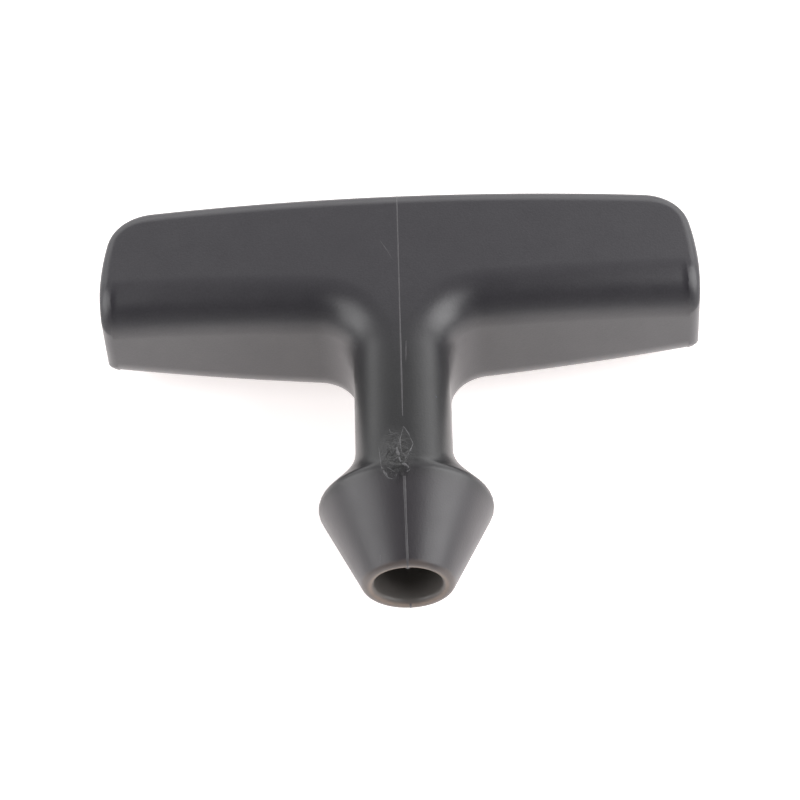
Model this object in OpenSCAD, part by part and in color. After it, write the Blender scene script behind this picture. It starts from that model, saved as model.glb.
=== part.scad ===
// Pull-start handle: a T-shaped grip moulded in one piece, with a round nose on its stem.
// The rope comes in at the mouth in the nose and is knotted in the pocket in the grip's back.
// The handle lies on its broad face, as it comes to rest: X runs along the grip, the nose
// points to -Y and Z is up. The origin is below the middle of the handle, on what it lies on.

/* [Whole handle] */
// Length from the nose tip to the back of the grip
overall_length = 61.8; // [56:0.2:72]

/* [Grip] */
// Length of the grip from end to end
grip_length = 90; // [70:1:110]
// Thickness of the grip at its middle
grip_thickness = 25.2; // [20:0.2:30]
// How far each broad face falls away between the middle and the ends
grip_crown = 3.2; // [0:0.1:5]
// Depth of the grip at its middle, from the finger side to the back
grip_depth = 22; // [19:0.1:26]
// Depth of the grip at its ends
grip_end_depth = 19; // [17:0.1:24]
// Radius of the edges along the back
edge_radius = 2.8; // [1:0.1:4]
// Radius of the edges round the two ends
end_edge_radius = 1.5; // [0.5:0.1:3]
// Radius of the back corners, seen from above
back_corner_radius = 7; // [3:0.1:8]
// Radius of the finger-side corners, seen from above
finger_corner_radius = 1.8; // [1:0.1:5]
// Radius to which the two ends bulge, seen from above
end_radius = 40; // [25:1:80]
// Distance from the back to where the grip is longest
longest_from_back = 14.5; // [10:0.1:16]

/* [Stem] */
// Width of the stem between the fingers
stem_width = 14.2; // [11:0.1:18]
// Thickness of the stem where it meets the nose
stem_thickness = 25; // [16:0.1:25]
// Radius of the hollows between the stem and the grip, seen from above
root_radius = 6; // [3:0.1:9]
// Width of the flat strip along the stem
strip_width = 1.2; // [0.6:0.1:3]

/* [Nose] */
// Largest diameter of the nose
nose_diameter = 26; // [24:0.1:30]
// Distance from the nose tip to its largest diameter
crest_from_tip = 13.1; // [10:0.1:16]
// Radius of the rounding on the largest diameter
crest_radius = 1.2; // [0.5:0.1:4]
// Slope of the shoulder towards the fingers, from the rope's direction
shoulder_angle = 42; // [35:0.5:60]
// Radius of the hollow where the shoulder runs into the stem
neck_radius = 6; // [1:0.1:8]

/* [Rope way] */
// Diameter of the mouth
mouth_diameter = 10; // [8:0.1:11]
// Radius of the rounded rim round the mouth
rim_radius = 1; // [0.4:0.1:1.4]
// Depth of the straight part of the mouth
mouth_depth = 7; // [5:0.5:10]
// Length over which the mouth narrows to the rope hole
taper_length = 5; // [2:0.5:8]
// Diameter of the rope hole
rope_hole_diameter = 5; // [3:0.1:7]
// Diameter of the pocket that takes the knot
pocket_diameter = 13; // [9:0.1:15]
// Depth of the pocket in the back of the grip
pocket_depth = 14; // [8:0.5:18]

/* [Hidden] */

// Steps round the quarter roll of an edge, and across a broad face
ROLL_STEPS = 9;
FACE_STEPS = 3;
// Steps along the stem, each hollow, each arm, each corner and each end
STEM_STEPS = 6;
HOLLOW_STEPS = 12;
ARM_STEPS = 9;
CORNER_STEPS = 6;
END_STEPS = 5;
// Steps round the nose's rim, crest and neck, and the facets of a full turn
RIM_STEPS = 5;
CREST_STEPS = 8;
NECK_STEPS = 8;
ROUND_FACETS = 96;

back_y = overall_length / 2;
tip_y = -overall_length / 2;
axis_z = max(grip_thickness, nose_diameter) / 2;
half_length = grip_length / 2;
half_stem = stem_width / 2;

// The finger side leans back a little towards the ends
finger_slope = (grip_depth - grip_end_depth) / half_length;
finger_lean = atan(finger_slope);
finger_y0 = back_y - grip_depth;
function finger_y(x) = finger_y0 + finger_slope * x;

// Edges on the finger side and the stem have one large roll, the others a small one. The large
// roll runs on to the ends, by the distance from the finger side.
finger_roll = half_stem - strip_width / 2;
function past_finger_side(p) = min(finger_roll, max(0, (p.y - finger_y(p.x)) * cos(finger_lean)));
function finger_drop(p) = finger_roll
    - sqrt(pow(finger_roll, 2) - pow(finger_roll - past_finger_side(p), 2));

// How the stem thickens from the nose up to the grip, a little faster at first than later
crest_y = tip_y + crest_from_tip;
ramp_end = finger_y0 + finger_roll / 2;
RAMP_POWER = 1.4;
stem_drop = (grip_thickness - stem_thickness) / 2;
function ramp(y) = min(1, max(0, (y - crest_y) / (ramp_end - crest_y)));
function half_thickness(p) = grip_thickness / 2
    - grip_crown * pow(p.x / half_length, 2)
    - stem_drop * pow(1 - ramp(p.y), RAMP_POWER);

function arc(centre, radius, from, to, steps) =
    [for (i = [0:steps]) let (a = from + (to - from) * i / steps)
        centre + radius * [cos(a), sin(a)]];
function line(a, b, steps) = [for (i = [0:steps]) a + (b - a) * i / steps];
// A list without its first point, which repeats the last point of the list before it
function tail(list) = [for (i = [1:len(list) - 1]) list[i]];
function fill(value, count) = [for (i = [1:count]) value];

// Hollow between the stem and an arm
hollow_x = half_stem + root_radius;
hollow_y = finger_y(hollow_x) - root_radius / cos(finger_lean);
hollow = [hollow_x, hollow_y];
hollow_end = 90 + finger_lean;

// Bulging end and the two corners that run into it
end_y = back_y - longest_from_back;
end_centre = [half_length - end_radius, end_y];
function corner_x(y, radius) = end_centre.x
    + sqrt(pow(end_radius - radius, 2) - pow(y - end_y, 2));
back_corner_y = back_y - back_corner_radius;
back_corner = [corner_x(back_corner_y, back_corner_radius), back_corner_y];
finger_corner_y = finger_y(half_length) + finger_corner_radius;
finger_corner = [corner_x(finger_corner_y, finger_corner_radius), finger_corner_y];
function end_angle(p) = atan2(p.y - end_y, p.x - end_centre.x);

// The same two corners where the rolled edge meets the broad face
face_finger_radius = 0.8;
face_back_least = face_finger_radius / 2;
face_end_radius = end_radius - end_edge_radius;
face_end_x = end_centre.x + sqrt(pow(face_end_radius, 2)
    - pow(finger_y(half_length) + finger_roll - end_y, 2));
face_finger_corner = [face_end_x - face_finger_radius,
    finger_y(half_length) + finger_roll + face_finger_radius];

// Spine that both halves of a broad face run to. It stops abreast of the back corner's centre.
spine_y = (finger_y0 + finger_roll + back_y - edge_radius) / 2;
spine_end = [back_corner.x, spine_y];

// Round the back corner the end's small edge grows into the back's
function corner_edge(i) = end_edge_radius
    + (edge_radius - end_edge_radius) * pow(sin(90 * i / CORNER_STEPS), 2);
function corner_turn(i) = end_angle(back_corner)
    + (90 - end_angle(back_corner)) * i / CORNER_STEPS;
function face_back_corner(i) = back_corner
    + max(back_corner_radius - corner_edge(i), face_back_least)
    * [cos(corner_turn(i)), sin(corner_turn(i))];

arm_start = hollow + root_radius * [cos(hollow_end), sin(hollow_end)];
arm_end = finger_corner + finger_corner_radius * [sin(finger_lean), -cos(finger_lean)];
face_arm_start = hollow + (root_radius + finger_roll) * [cos(hollow_end), sin(hollow_end)];
face_arm_end = face_finger_corner + face_finger_radius * [sin(finger_lean), -cos(finger_lean)];

// Half of the outline from the nose to the middle of the back, at mid thickness.
// The stem starts inside the nose, at the crest.
stem_start = [half_stem, crest_y];
half_outline = concat(
    line(stem_start, [half_stem, hollow_y], STEM_STEPS),
    tail(arc(hollow, root_radius, 180, hollow_end, HOLLOW_STEPS)),
    tail(line(arm_start, arm_end, ARM_STEPS)),
    tail(arc(finger_corner, finger_corner_radius, finger_lean - 90, end_angle(finger_corner),
        CORNER_STEPS)),
    tail(arc(end_centre, end_radius, end_angle(finger_corner), end_angle(back_corner), END_STEPS)),
    tail(arc(back_corner, back_corner_radius, end_angle(back_corner), 90, CORNER_STEPS)));

// The same half where the rolled edge meets the broad face
half_face = concat(
    line([strip_width / 2, stem_start.y], [strip_width / 2, hollow_y], STEM_STEPS),
    tail(arc(hollow, root_radius + finger_roll, 180, hollow_end, HOLLOW_STEPS)),
    tail(line(face_arm_start, face_arm_end, ARM_STEPS)),
    tail(arc(face_finger_corner, face_finger_radius, finger_lean - 90, 0, CORNER_STEPS)),
    tail(arc(end_centre, face_end_radius, end_angle(face_finger_corner), end_angle(back_corner),
        END_STEPS)),
    [for (i = [1:CORNER_STEPS]) face_back_corner(i)]);

// The spine point that each of those runs to
HALF_HOLLOW = HOLLOW_STEPS / 2;
half_spine = concat(
    line([0, stem_start.y], [0, hollow_y], STEM_STEPS),
    tail(line([0, hollow_y], [0, spine_y], HALF_HOLLOW)),
    tail(line([0, spine_y], [arm_start.x, spine_y], HALF_HOLLOW)),
    tail(line([arm_start.x, spine_y], spine_end, ARM_STEPS)),
    fill(spine_end, 2 * CORNER_STEPS + END_STEPS));

// How far the edge is rolled down at each of them
FINGER_COUNT = STEM_STEPS + 1 + HOLLOW_STEPS + ARM_STEPS;
half_roll = concat(
    fill(finger_roll, FINGER_COUNT),
    [for (i = [1:CORNER_STEPS]) end_edge_radius * pow(sin(90 * i / CORNER_STEPS), 2)],
    fill(end_edge_radius, END_STEPS),
    [for (i = [1:CORNER_STEPS]) corner_edge(i)]);

// The back edge repeats the spine's own X values, down to the middle
back_x = [for (i = [ARM_STEPS + HALF_HOLLOW - 1:-1:0])
    half_spine[STEM_STEPS + HALF_HOLLOW + i].x];
outline = concat(half_outline, [for (x = back_x) [x, back_y]]);
face_edge = concat(half_face, [for (x = back_x) [x, back_y - edge_radius]]);
spine = concat(half_spine, [for (x = back_x) [x, spine_y]]);
roll = concat(half_roll, fill(edge_radius, len(back_x)));

// One column of points from the edge over the roll and the face to the spine
function height(i, p) = half_thickness(p) - (i < FINGER_COUNT ? 0 : finger_drop(p));
function column(i) = concat(
    [for (j = [0:ROLL_STEPS])
        let (a = 90 * j / ROLL_STEPS,
            p = outline[i] + (face_edge[i] - outline[i]) * (1 - cos(a)))
        [p.x, p.y, height(i, p) - roll[i] * (1 - sin(a))]],
    [for (j = [1:FACE_STEPS])
        let (p = face_edge[i] + (spine[i] - face_edge[i]) * j / FACE_STEPS)
        [p.x, p.y, height(i, p)]]);

// All round: the right half, then the left half on the way back, with the underside mirrored
function flip_x(p) = [p.x == 0 ? 0 : -p.x, p.y, p.z];
function flip_z(p) = [p.x, p.y, -p.z];
right = [for (i = [0:len(outline) - 1]) column(i)];
left = [for (i = [len(outline) - 2:-1:0]) [for (p = right[i]) flip_x(p)]];
columns = [for (c = concat(right, left))
    concat([for (k = [len(c) - 1:-1:0]) flip_z(c[k])], c)];

module body() {
    rows = len(columns[0]);
    count = len(columns);
    points = [for (c = columns) for (p = c) p];
    cells = [for (i = [0:count - 1]) for (j = [0:rows - 2])
        let (n = (i + 1) % count)
        [i * rows + j, i * rows + j + 1, n * rows + j + 1, n * rows + j]];
    // A cell that closes on the spine has two equal corners and keeps three
    faces = [for (c = cells)
        [for (k = [0:3]) if (points[c[k]] != points[c[(k + 1) % 4]]) c[k]]];
    translate([0, 0, axis_z])
        polyhedron(points, [for (f = faces) if (len(f) > 2) f]);
}

// What is turned round the rope's line, from points given as [radius, distance from the tip]
module turned(profile) {
    translate([0, tip_y, axis_z]) rotate([-90, 0, 0])
        rotate_extrude($fn = ROUND_FACETS) polygon(profile);
}

// Nose, from the rounded rim over the cone, the crest and the shoulder into the stem
module nose() {
    mouth_r = mouth_diameter / 2;
    rim = [mouth_r + rim_radius, rim_radius];
    crest = [nose_diameter / 2 - crest_radius, crest_from_tip];
    span = crest - rim;
    cone_angle = atan2(span.x, span.y) + asin((crest_radius - rim_radius) / norm(span));
    // The neck stops a little inside the stem's sides, so that the two meet cleanly
    sink = 0.25;
    neck_line = half_stem - sink;
    shoulder_normal = [cos(shoulder_angle), sin(shoulder_angle)];
    shoulder_reach = crest * shoulder_normal + crest_radius;
    neck_x = neck_line + neck_radius;
    neck_y = (shoulder_reach + neck_radius - neck_x * shoulder_normal.x) / shoulder_normal.y;
    profile = concat(
        [[0, 0]],
        arc(rim, rim_radius, -90, -cone_angle, RIM_STEPS),
        arc(crest, crest_radius, -cone_angle, shoulder_angle, CREST_STEPS),
        arc([neck_x, neck_y], neck_radius, 180 + shoulder_angle, 180, NECK_STEPS),
        [[0, neck_y]]);
    turned(profile);
}

// Everything that the rope needs: flared rim, mouth, taper, rope hole and knot pocket
module rope_way() {
    mouth_r = mouth_diameter / 2;
    hole_r = rope_hole_diameter / 2;
    pocket_r = pocket_diameter / 2;
    taper_end = mouth_depth + taper_length;
    pocket_start = overall_length - pocket_depth;
    rim = [mouth_r + rim_radius, rim_radius];
    past_end = 1;
    turned(concat(
        [[0, -past_end], [rim.x, -past_end]],
        arc(rim, rim_radius, 270, 180, RIM_STEPS),
        [[mouth_r, mouth_depth], [hole_r, taper_end], [hole_r, pocket_start],
         [pocket_r, pocket_start], [pocket_r, overall_length + past_end],
         [0, overall_length + past_end]]));
}

module starter_handle() {
    color("#4a494c") difference() {
        union() {
            body();
            nose();
        }
        rope_way();
    }
}

starter_handle();
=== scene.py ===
# %% [markdown]
# # A pull-start handle, moulded in one piece
# This lesson dresses a T-shaped starter handle: one shot of dark, glass-filled nylon with a crowned
# grip, a rounded stem and a conical nose. The construction model gives its place and its size. Here
# the same form is made again with a much finer surface, and it gets what only a close look shows:
# the parting line of the mould, the scar where the plastic was let in, and a few scratches.

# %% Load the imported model
import math

import bmesh
import bpy
from mathutils import Matrix, Vector
from mathutils.bvhtree import BVHTree


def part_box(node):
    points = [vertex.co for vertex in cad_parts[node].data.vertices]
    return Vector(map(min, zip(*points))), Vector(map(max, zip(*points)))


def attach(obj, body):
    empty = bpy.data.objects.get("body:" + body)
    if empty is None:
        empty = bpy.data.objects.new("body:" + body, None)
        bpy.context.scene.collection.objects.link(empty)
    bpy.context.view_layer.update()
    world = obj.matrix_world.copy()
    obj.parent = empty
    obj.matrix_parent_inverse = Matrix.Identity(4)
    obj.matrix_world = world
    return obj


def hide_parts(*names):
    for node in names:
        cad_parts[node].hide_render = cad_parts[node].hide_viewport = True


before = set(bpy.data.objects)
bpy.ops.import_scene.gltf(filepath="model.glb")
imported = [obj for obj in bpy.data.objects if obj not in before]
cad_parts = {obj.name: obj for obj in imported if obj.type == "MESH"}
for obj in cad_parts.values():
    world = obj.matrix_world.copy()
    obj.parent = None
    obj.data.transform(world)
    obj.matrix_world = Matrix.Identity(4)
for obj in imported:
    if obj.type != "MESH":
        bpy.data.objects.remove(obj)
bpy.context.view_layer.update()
print("pieces of the construction model:", list(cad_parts))

# %% [markdown]
# ## Small helpers
# Every node tree here, for shapes and for materials alike, is built by one function. It adds a
# node, sets its settings, and gives each input either a plain value or a link from another node.
# The shapes come out of geometry trees as plain meshes, because a live modifier would be lost on
# the way to the finished file.

# %% One function that adds a node
MM = 0.001


def add(tree, kind, inputs=None, output=0, **settings):
    """Adds a node, applies its settings, sets or links its inputs, and gives one output."""
    node = tree.nodes.new(kind)
    for name, value in settings.items():
        setattr(node, name, value)
    for key, value in (inputs or {}).items():
        if isinstance(value, bpy.types.NodeSocket):
            tree.links.new(value, node.inputs[key])
        else:
            node.inputs[key].default_value = value
    return node if output is None else node.outputs[output]


def linear(code):
    """An sRGB colour, written as six hex digits, as the linear RGBA that a socket takes."""
    channels = [int(code[i:i + 2], 16) / 255 for i in (0, 2, 4)]
    return tuple(c / 12.92 if c <= 0.04045 else ((c + 0.055) / 1.055) ** 2.4
                 for c in channels) + (1.0,)


# %% One function that turns a tree's result into a plain mesh
def shape_tree(name, inputs):
    """A new geometry tree with named inputs, given as {name: kind of socket}."""
    tree = bpy.data.node_groups.new(name, "GeometryNodeTree")
    tree.interface.new_socket("Geometry", in_out="INPUT", socket_type="NodeSocketGeometry")
    for label, kind in inputs.items():
        tree.interface.new_socket(label, in_out="INPUT", socket_type="NodeSocket" + kind)
    tree.interface.new_socket("Material", in_out="INPUT", socket_type="NodeSocketMaterial")
    tree.interface.new_socket("Geometry", in_out="OUTPUT", socket_type="NodeSocketGeometry")
    return tree, add(tree, "NodeGroupInput", output=None).outputs


def finish_shape(tree, given, geometry):
    """Ends a geometry tree: instances become real, and the material is set."""
    real = add(tree, "GeometryNodeRealizeInstances", {"Geometry": geometry})
    dressed = add(tree, "GeometryNodeSetMaterial",
                  {"Geometry": real, "Material": given["Material"]})
    add(tree, "NodeGroupOutput", {"Geometry": dressed}, output=None)


def made_by(tree, start, name, **values):
    """Runs a tree on an object and gives its result as an object with a plain mesh of its own."""
    modifier = start.modifiers.new(tree.name, "NODES")
    modifier.node_group = tree
    sockets = {s.name.replace(" ", "_").lower(): s.identifier
               for s in tree.interface.items_tree if s.in_out == "INPUT"}
    for label, value in values.items():
        modifier[sockets[label]] = value
    depsgraph = bpy.context.evaluated_depsgraph_get()
    mesh = bpy.data.meshes.new_from_object(start.evaluated_get(depsgraph), depsgraph=depsgraph)
    mesh.name = name
    start.modifiers.remove(modifier)
    piece = bpy.data.objects.new(name, mesh)
    bpy.context.scene.collection.objects.link(piece)
    bpy.data.objects.remove(start)
    print(f"{name}: {len(mesh.vertices)} points, {len(mesh.polygons)} faces")
    return piece


# %% [markdown]
# ## The camera
# The photograph looks down on the handle from the nose's side, from far away with a long lens. The
# view was solved from the handle's own edges in the photograph, so it is written as angles, a
# distance and a focal length in pixels, and turned into a lens and a small shift.

# %% The camera's axes
VIEW_ELEVATION = 58.11
VIEW_AZIMUTH = -2.14
VIEW_ROLL = -4.08


def camera_axes():
    """The camera's right, up and backward directions."""
    elevation, azimuth, roll = (math.radians(a) for a in (VIEW_ELEVATION, VIEW_AZIMUTH, VIEW_ROLL))
    back = Vector((-math.sin(azimuth) * math.cos(elevation),
                   -math.cos(azimuth) * math.cos(elevation), math.sin(elevation)))
    right = Vector((0, 0, 1)).cross(back).normalized()
    up = back.cross(right)
    return (right * math.cos(roll) + up * math.sin(roll),
            up * math.cos(roll) - right * math.sin(roll), back)


RIGHT, UP, BACK = camera_axes()
print("the camera looks along", [round(-c, 3) for c in BACK])

# %% Camera
PHOTO_SIZE = 800
VIEW_DISTANCE = 600 * MM
FOCAL_PIXELS = 4021.0
CENTRE_PIXEL = Vector((403.2, 406.6))
LOOK_AT = Vector((0, 0, 12.9 * MM))
SENSOR = 36.0
EYE = LOOK_AT + BACK * VIEW_DISTANCE
camera_data = bpy.data.cameras.new("camera")
camera_data.sensor_width = SENSOR
camera_data.lens = FOCAL_PIXELS / PHOTO_SIZE * SENSOR
middle = (PHOTO_SIZE - 1) / 2
camera_data.shift_x = (middle - CENTRE_PIXEL.x) / PHOTO_SIZE
camera_data.shift_y = (CENTRE_PIXEL.y - middle) / PHOTO_SIZE
camera_data.clip_start = 0.05
camera = bpy.data.objects.new("camera", camera_data)
camera.matrix_world = Matrix.Translation(EYE) @ Matrix((RIGHT, UP, BACK)).transposed().to_4x4()
bpy.context.scene.collection.objects.link(camera)
bpy.context.scene.camera = camera
print(f"lens {camera_data.lens:.1f} mm, shift {camera_data.shift_x:.4f}, {camera_data.shift_y:.4f}")

# %% [markdown]
# ## The outer sizes
# The construction model's box gives the outer sizes, so the two models always agree. A few more are
# needed by the material as well as by the form. All others stand where they are first used.

# %% Outer sizes
LOW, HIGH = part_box("starter_handle")
# The parting line stands this far out, within the construction model's box
LINE_RISE = 0.09 * MM
TIP_Y = LOW.y + LINE_RISE
BACK_Y = HIGH.y - LINE_RISE
HALF_LENGTH = (HIGH.x - LOW.x) / 2
AXIS_Z = (LOW.z + HIGH.z) / 2
NOSE_RADIUS = (HIGH.z - LOW.z) / 2 - LINE_RISE
MOUTH_RADIUS = 5 * MM
CREST_FROM_TIP = 13.1 * MM
CREST_Y = TIP_Y + CREST_FROM_TIP
print(f"grip {2000 * HALF_LENGTH:.1f} mm long, nose {2000 * NOSE_RADIUS:.1f} mm across")

# %% [markdown]
# ## The material: moulded glass-filled nylon
# Dark grey polyamide with short glass fibre, moulded against a finely spark-eroded steel: it is
# matte, a little cloudy in its gloss, and covered by a very fine grain. Use has changed it in a few
# places only. The rope has rubbed the mouth and its rim to a dusty tan, and the nose, which strikes
# its seat each time the rope runs back, is duller than the grip. Where the plastic was let into the
# mould its skin is torn and mottled, and its darkest blotches are painted shadow. The stem is
# painted darker than the grip: painted shade.

# %% Grain, clouds and distances
nylon = bpy.data.materials.new("moulded_glass_filled_nylon")
nylon.use_nodes = True
tree = nylon.node_tree
tree.nodes.clear()
where = add(tree, "ShaderNodeTexCoord", output="Object")
place = add(tree, "ShaderNodeSeparateXYZ", {0: where}, output=None).outputs
# The real grain is about 0.1 mm. It is drawn coarser, or it would not show
GRAIN_SIZE = 0.3 * MM
CLOUD_SIZE = 4 * MM
grain = add(tree, "ShaderNodeTexNoise", {"Vector": where, "Scale": 1 / GRAIN_SIZE, "Detail": 2.0,
                                         "Roughness": 0.6})
clouds = add(tree, "ShaderNodeTexNoise", {"Vector": where, "Scale": 1 / CLOUD_SIZE, "Detail": 4.0,
                                          "Roughness": 0.55})
# The borders of worn places wander by this much, so that none is a straight line
WANDER = 1.2 * MM
wandering_y = add(tree, "ShaderNodeMath", {0: clouds, 1: WANDER, 2: place["Y"]},
                  operation="MULTIPLY_ADD")
from_middle = add(tree, "ShaderNodeVectorMath", {0: where, 1: (0, 0, AXIS_Z)},
                  operation="SUBTRACT")
off_axis = add(tree, "ShaderNodeVectorMath", {0: from_middle, 1: (1, 0, 1)},
               operation="MULTIPLY")
axis_distance = add(tree, "ShaderNodeVectorMath", {0: off_axis}, output="Value",
                    operation="LENGTH")
print(f"grain {GRAIN_SIZE / MM:.1f} mm, clouds {CLOUD_SIZE / MM:.0f} mm")

# %% Masks that say where the material is worn
# From the tip, and outwards from the wall of the mouth
RIM_REACH = (0.55 * MM, 1.4 * MM)
RIM_FADE = (0.5 * MM, 1.3 * MM)
WAY_FADE = (0.05 * MM, 0.5 * MM)
NOSE_FADE = 2 * MM
near_tip = add(tree, "ShaderNodeMapRange",
               {"Value": wandering_y, "From Min": TIP_Y + RIM_REACH[0],
                "From Max": TIP_Y + RIM_REACH[1], "To Min": 1.0, "To Max": 0.0},
               interpolation_type="SMOOTHSTEP")
near_mouth = add(tree, "ShaderNodeMapRange",
                 {"Value": axis_distance, "From Min": MOUTH_RADIUS + RIM_FADE[0],
                  "From Max": MOUTH_RADIUS + RIM_FADE[1], "To Min": 1.0, "To Max": 0.3},
                 interpolation_type="SMOOTHSTEP")
rim_worn = add(tree, "ShaderNodeMath", {0: near_tip, 1: near_mouth}, operation="MULTIPLY")
in_way = add(tree, "ShaderNodeMapRange",
             {"Value": axis_distance, "From Min": MOUTH_RADIUS + WAY_FADE[0],
              "From Max": MOUTH_RADIUS + WAY_FADE[1], "To Min": 1.0, "To Max": 0.0})
nose_worn = add(tree, "ShaderNodeMapRange",
                {"Value": wandering_y, "From Min": CREST_Y - NOSE_FADE,
                 "From Max": CREST_Y + NOSE_FADE, "To Min": 1.0, "To Max": 0.0},
                interpolation_type="SMOOTHSTEP")
print(f"the nose is worn up to y {CREST_Y / MM:.1f} mm")

# %% The torn skin where the plastic was let in
GATE_CENTRE = (-0.9 * MM, -15.9 * MM, 0)
GATE_SIZE = (2.7 * MM, 4.6 * MM, 1)
TORN_SIZE = 1 * MM
from_gate = add(tree, "ShaderNodeVectorMath", {0: where, 1: GATE_CENTRE}, operation="SUBTRACT")
scaled = add(tree, "ShaderNodeVectorMath", {0: from_gate, 1: GATE_SIZE}, operation="DIVIDE")
flat = add(tree, "ShaderNodeVectorMath", {0: scaled, 1: (1, 1, 0)}, operation="MULTIPLY")
far = add(tree, "ShaderNodeVectorMath", {0: flat}, output="Value", operation="LENGTH")
near_gate = add(tree, "ShaderNodeMapRange", {"Value": far, "From Min": 0.35, "From Max": 1.1,
                                             "To Min": 1.0, "To Max": 0.0},
                interpolation_type="SMOOTHSTEP")
in_front = add(tree, "ShaderNodeMath", {0: place["Z"], 1: AXIS_Z}, operation="GREATER_THAN")
gate = add(tree, "ShaderNodeMath", {0: near_gate, 1: in_front}, operation="MULTIPLY")
torn = add(tree, "ShaderNodeTexNoise", {"Vector": where, "Scale": 1 / TORN_SIZE, "Detail": 3.0,
                                        "Roughness": 0.6, "Distortion": 1.5})
torn_here = add(tree, "ShaderNodeMath", {0: torn, 1: gate}, operation="MULTIPLY")
print(f"torn skin {2 * GATE_SIZE[0] / MM:.1f} by {2 * GATE_SIZE[1] / MM:.1f} mm")

# %% Colours of the nylon, with painted shade on the stem, and worn places
# Painted shade: the stem gets a darker colour than the grip
painted_shade_stem_colour = add(tree, "ShaderNodeMix", {0: grain, 6: linear("151516"), 7: linear("252527")}, output=2,
            data_type="RGBA")
grip_tone = add(tree, "ShaderNodeMix", {0: grain, 6: linear("242227"), 7: linear("363439")},
              output=2, data_type="RGBA")
# The painted shade of the stem fades out between these distances, towards the grip
STEM_SHADE_FADE = (-4 * MM, 17 * MM)
off_the_stem = add(tree, "ShaderNodeMapRange",
              {"Value": wandering_y, "From Min": STEM_SHADE_FADE[0], "From Max": STEM_SHADE_FADE[1]},
              interpolation_type="SMOOTHSTEP")
tone_with_stem_shade = add(tree, "ShaderNodeMix", {0: off_the_stem, 6: painted_shade_stem_colour, 7: grip_tone}, output=2,
                  data_type="RGBA")
nose_colour = add(tree, "ShaderNodeMix", {0: nose_worn, 6: tone_with_stem_shade, 7: linear("353236")},
                  output=2, data_type="RGBA")
# Torn, mottled skin: its darkest blotches are painted shadow of the torn ridges
blotches = add(tree, "ShaderNodeMapRange", {"Value": torn, "From Min": 0.38, "From Max": 0.66})
mottled_with_painted_shadow = add(tree, "ShaderNodeMix", {0: blotches, 6: linear("101010"), 7: linear("302f31")},
              output=2, data_type="RGBA")
skin_colour = add(tree, "ShaderNodeMix", {0: gate, 6: nose_colour, 7: mottled_with_painted_shadow}, output=2,
                  data_type="RGBA")
rim_colour = add(tree, "ShaderNodeMix", {0: rim_worn, 6: skin_colour, 7: linear("85766b")},
                 output=2, data_type="RGBA")
colour = add(tree, "ShaderNodeMix", {0: in_way, 6: rim_colour, 7: linear("65615e")}, output=2,
             data_type="RGBA")
print(f"{len(tree.nodes)} nodes up to the colour")

# %% Gloss, grain and relief of the nylon
gloss = add(tree, "ShaderNodeMapRange", {"Value": clouds, "From Min": 0.3, "From Max": 0.7,
                                         "To Min": 0.34, "To Max": 0.40})
duller = add(tree, "ShaderNodeMath", {0: nose_worn, 1: 0.04, 2: gloss}, operation="MULTIPLY_ADD")
roughness = add(tree, "ShaderNodeMath", {0: rim_worn, 1: 0.2, 2: duller}, operation="MULTIPLY_ADD")
GRAIN_HEIGHT = 0.016 * MM
TORN_HEIGHT = 0.26 * MM
bump = add(tree, "ShaderNodeBump", {"Height": grain, "Strength": 1.0, "Distance": GRAIN_HEIGHT})
relief = add(tree, "ShaderNodeBump", {"Height": torn_here, "Strength": 1.0,
                                      "Distance": TORN_HEIGHT, "Normal": bump})
surface = add(tree, "ShaderNodeBsdfPrincipled",
              {"Base Color": colour, "Roughness": roughness, "Normal": relief, "IOR": 1.6})
add(tree, "ShaderNodeOutputMaterial", {"Surface": surface}, output=None)
print(f"{nylon.name}: {len(tree.nodes)} nodes")

# %% [markdown]
# ## Three lighter states of the same nylon
# A thin flash is rubbed pale by the hand first. Where the skin is pulled or scratched, small voids
# open round the glass fibres and scatter the light: the plastic turns whitish, as if powdered.

# %% Flash, torn lips and scratches
PATCH_SIZE = 0.8 * MM


def pale_nylon(name, dark, light, roughness):
    """Rubbed or stress-whitened nylon: one noise between two colours, and little gloss."""
    material = bpy.data.materials.new(name)
    material.use_nodes = True
    tree = material.node_tree
    tree.nodes.clear()
    where = add(tree, "ShaderNodeTexCoord", output="Object")
    patches = add(tree, "ShaderNodeTexNoise", {"Vector": where, "Scale": 1 / PATCH_SIZE,
                                               "Detail": 2.0})
    colour = add(tree, "ShaderNodeMix", {0: patches, 6: linear(dark), 7: linear(light)}, output=2,
                 data_type="RGBA")
    surface = add(tree, "ShaderNodeBsdfPrincipled",
                  {"Base Color": colour, "Roughness": roughness, "IOR": 1.55})
    add(tree, "ShaderNodeOutputMaterial", {"Surface": surface}, output=None)
    print(f"{name}: {len(tree.nodes)} nodes")
    return material


rubbed = pale_nylon("rubbed_flash_of_the_nylon", "424042", "5c5a5d", 0.45)
whitened = pale_nylon("stress_whitened_nylon", "3e3d3f", "676668", 0.5)
scuffed = pale_nylon("scratched_nylon_with_bluish_haze", "30353e", "4a5260", 0.4)

# %% [markdown]
# ## The form of the handle
# The handle has one rule. Seen from above it has an outline: down the stem, round a hollow, along
# the finger side, round the end and back along the grip. From every point of that outline the
# surface rolls up over a quarter turn and then runs across the broad face to a spine in the middle.
# The roll is large along the stem and the fingers, and small along the back. The nose is turned:
# there the same sections are stretched until they lie on a circle, and where the nose is thinner
# than the stem the two melt into each other in a hollow.
#
# So the form is a loft. Python makes the rails, one point for each step along the outline with
# what belongs to it, and a geometry tree sweeps the section along them. A box with bevels would
# be quicker, but its roll would neither change along the way nor run into the turned nose.


# %% Arcs and lines in the plan
def arc(centre, radius, start, stop, steps):
    """Points along an arc, between two angles in degrees."""
    angles = [math.radians(start + (stop - start) * i / steps) for i in range(steps + 1)]
    return [Vector((centre[0] + radius * math.cos(a), centre[1] + radius * math.sin(a)))
            for a in angles]


def line(start, stop, steps):
    """Points along a straight line."""
    return [Vector(start).lerp(Vector(stop), i / steps) for i in range(steps + 1)]


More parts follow.
